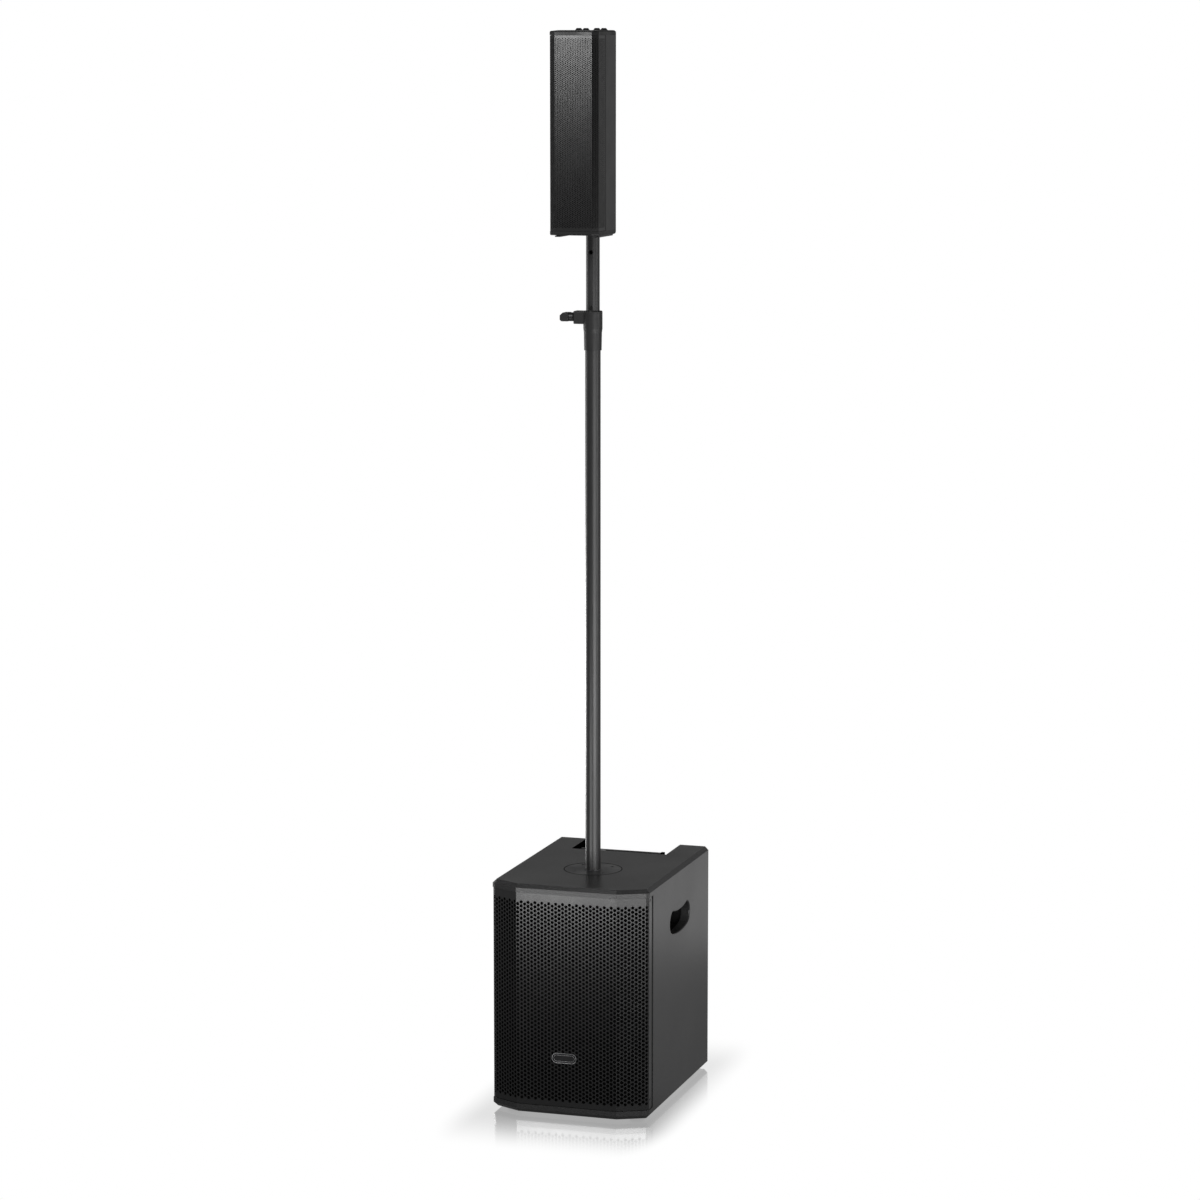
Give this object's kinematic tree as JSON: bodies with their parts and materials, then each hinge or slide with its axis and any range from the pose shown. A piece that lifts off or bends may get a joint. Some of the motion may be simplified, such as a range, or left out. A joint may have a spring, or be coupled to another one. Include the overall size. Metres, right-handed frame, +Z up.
{
  "type": "column pa speaker",
  "caption": "Portable column PA speaker: boxy active subwoofer with a perforated grille, telescopic pole with a bar-handled clamp, and a slim satellite head on top.",
  "frame": {"origin": "on the floor, under the middle of the subwoofer's footprint", "axes": "+Z up, -Y towards the audience (the grilles' side), +X to the right as seen from the front"},
  "size_m": [0.32, 0.443, 2.1],
  "materials": {
    "cabinet_paint": "textured black paint",
    "grille_steel": "black powder coat",
    "black_metal": "satin black",
    "pole_metal": "gloss black",
    "socket_metal": "black anodised",
    "hard_plastic": "fine grain",
    "control_plastic": "satin",
    "badge_metal": "brushed",
    "screw_steel": "blackened",
    "heatsink_metal": "black anodised",
    "board": "solder mask",
    "rubber": "matte",
    "magnet": "ferrite",
    "cone_paper": "coated paper",
    "coil_wire": "enamelled",
    "foam": "open-cell foam",
    "baffle_board": "matte"
  },
  "bodies": {
    "cabinet": {"top_panel": "cabinet_paint", "bottom_panel": "cabinet_paint", "left_side_panel": "cabinet_paint", "right_side_panel": "cabinet_paint", "front_baffle": "cabinet_paint", "rear_panel": "cabinet_paint", "left_handle_cup": "hard_plastic", "right_handle_cup": "hard_plastic", "rubber_feet": "rubber", "pole_socket": "socket_metal", "socket_screws": "screw_steel", "sub_grille": "grille_steel", "grille_foam": "foam", "grille_screws": "screw_steel", "badge": "badge_metal", "woofer_basket": "black_metal", "woofer_magnet": "magnet", "woofer_surround": "rubber", "port_tube": "hard_plastic", "damping_pad": "foam", "control_panel": "black_metal", "panel_hood": "hard_plastic", "amp_plate": "black_metal", "heatsink": "heatsink_metal", "amp_board": "board", "input_jacks": "control_plastic", "link_sockets": "control_plastic", "power_inlet": "control_plastic", "panel_screws": "screw_steel"},
    "woofer_cone": {"woofer_cone": "cone_paper", "woofer_dust_cap": "cone_paper", "woofer_coil": "coil_wire"},
    "mic_knob": {"mic_knob": "control_plastic"},
    "line_knob": {"line_knob": "control_plastic"},
    "bass_knob": {"bass_knob": "control_plastic"},
    "pair_button": {"pair_button": "control_plastic"},
    "power_switch": {"power_switch": "control_plastic"},
    "lower_pole": {"lower_tube": "pole_metal", "clamp_collar": "hard_plastic"},
    "clamp_pad": {"clamp_pad": "rubber"},
    "clamp_knob": {"clamp_knob": "hard_plastic", "clamp_screw": "screw_steel"},
    "upper_pole": {"upper_tube": "pole_metal", "button_spring": "screw_steel", "guide_bush": "hard_plastic"},
    "snap_button": {"snap_button": "control_plastic"},
    "head": {"head_shell": "hard_plastic", "head_top_cap": "hard_plastic", "head_bottom_cap": "hard_plastic", "head_grille": "grille_steel", "head_baffle": "baffle_board", "driver_frames": "black_metal", "driver_magnets": "magnet", "head_socket": "socket_metal", "head_connector": "control_plastic", "mount_rail": "black_metal"},
    "driver_cone_1": {"driver_cone_1": "cone_paper"},
    "driver_cone_2": {"driver_cone_2": "cone_paper"},
    "driver_cone_3": {"driver_cone_3": "cone_paper"},
    "driver_cone_4": {"driver_cone_4": "cone_paper"}
  },
  "joints": [
    {"name": "woofer_stroke", "type": "slide", "parent": "cabinet", "child": "woofer_cone", "axis": [0, -1, 0], "range_m": [-0.005, 0.005], "stiffness_N_per_m": 900},
    {"name": "mic_level", "type": "hinge", "parent": "cabinet", "child": "mic_knob", "pos_m": [-0.06, 0.1815, 0.4045], "axis": [0, 0.7725, 0.635], "range_deg": [-150, 150]},
    {"name": "line_level", "type": "hinge", "parent": "cabinet", "child": "line_knob", "pos_m": [-0.02, 0.1815, 0.4045], "axis": [0, 0.7725, 0.635], "range_deg": [-150, 150]},
    {"name": "bass_level", "type": "hinge", "parent": "cabinet", "child": "bass_knob", "pos_m": [0.02, 0.1815, 0.4045], "axis": [0, 0.7725, 0.635], "range_deg": [-150, 150]},
    {"name": "pair_press", "type": "slide", "parent": "cabinet", "child": "pair_button", "axis": [0, -0.7725, -0.635], "range_m": [0, 0.0015], "stiffness_N_per_m": 300},
    {"name": "power_rocker", "type": "hinge", "parent": "cabinet", "child": "power_switch", "pos_m": [0.062, 0.2155, 0.255], "axis": [1, 0, 0], "range_deg": [0, 16]},
    {"name": "pole_lift", "type": "slide", "parent": "cabinet", "child": "lower_pole", "axis": [0, 0, 1], "range_m": [0, 0.085]},
    {"name": "clamp_travel", "type": "slide", "parent": "lower_pole", "child": "clamp_pad", "axis": [-1, 0, 0], "range_m": [0, 0.00185]},
    {"name": "clamp_turn", "type": "hinge", "parent": "clamp_pad", "child": "clamp_knob", "pos_m": [-0.047, -0.0475, 1.548], "axis": [-1, 0, 0], "range_deg": [0, 540]},
    {"name": "pole_height", "type": "slide", "parent": "lower_pole", "child": "upper_pole", "axis": [0, 0, 1], "range_m": [0, 0.4]},
    {"name": "button_press", "type": "slide", "parent": "upper_pole", "child": "snap_button", "axis": [0, 1, 0], "range_m": [0, 0.0034], "stiffness_N_per_m": 400},
    {"name": "head_turn", "type": "hinge", "parent": "upper_pole", "child": "head", "pos_m": [0, -0.0475, 1.7092], "axis": [0, 0, 1], "continuous": true},
    {"name": "driver_stroke_1", "type": "slide", "parent": "head", "child": "driver_cone_1", "axis": [0, -1, 0], "range_m": [-0.0015, 0.0015], "stiffness_N_per_m": 200},
    {"name": "driver_stroke_2", "type": "slide", "parent": "head", "child": "driver_cone_2", "axis": [0, -1, 0], "range_m": [-0.0015, 0.0015], "stiffness_N_per_m": 200},
    {"name": "driver_stroke_3", "type": "slide", "parent": "head", "child": "driver_cone_3", "axis": [0, -1, 0], "range_m": [-0.0015, 0.0015], "stiffness_N_per_m": 200},
    {"name": "driver_stroke_4", "type": "slide", "parent": "head", "child": "driver_cone_4", "axis": [0, -1, 0], "range_m": [-0.0015, 0.0015], "stiffness_N_per_m": 200}
  ],
  "couplings": [
    {"joint": "clamp_turn", "follows": "clamp_travel", "rad_per_m": 5026.5},
    {"joint": "driver_stroke_2", "follows": "driver_stroke_1", "ratio": 1},
    {"joint": "driver_stroke_3", "follows": "driver_stroke_1", "ratio": 1},
    {"joint": "driver_stroke_4", "follows": "driver_stroke_1", "ratio": 1}
  ]
}
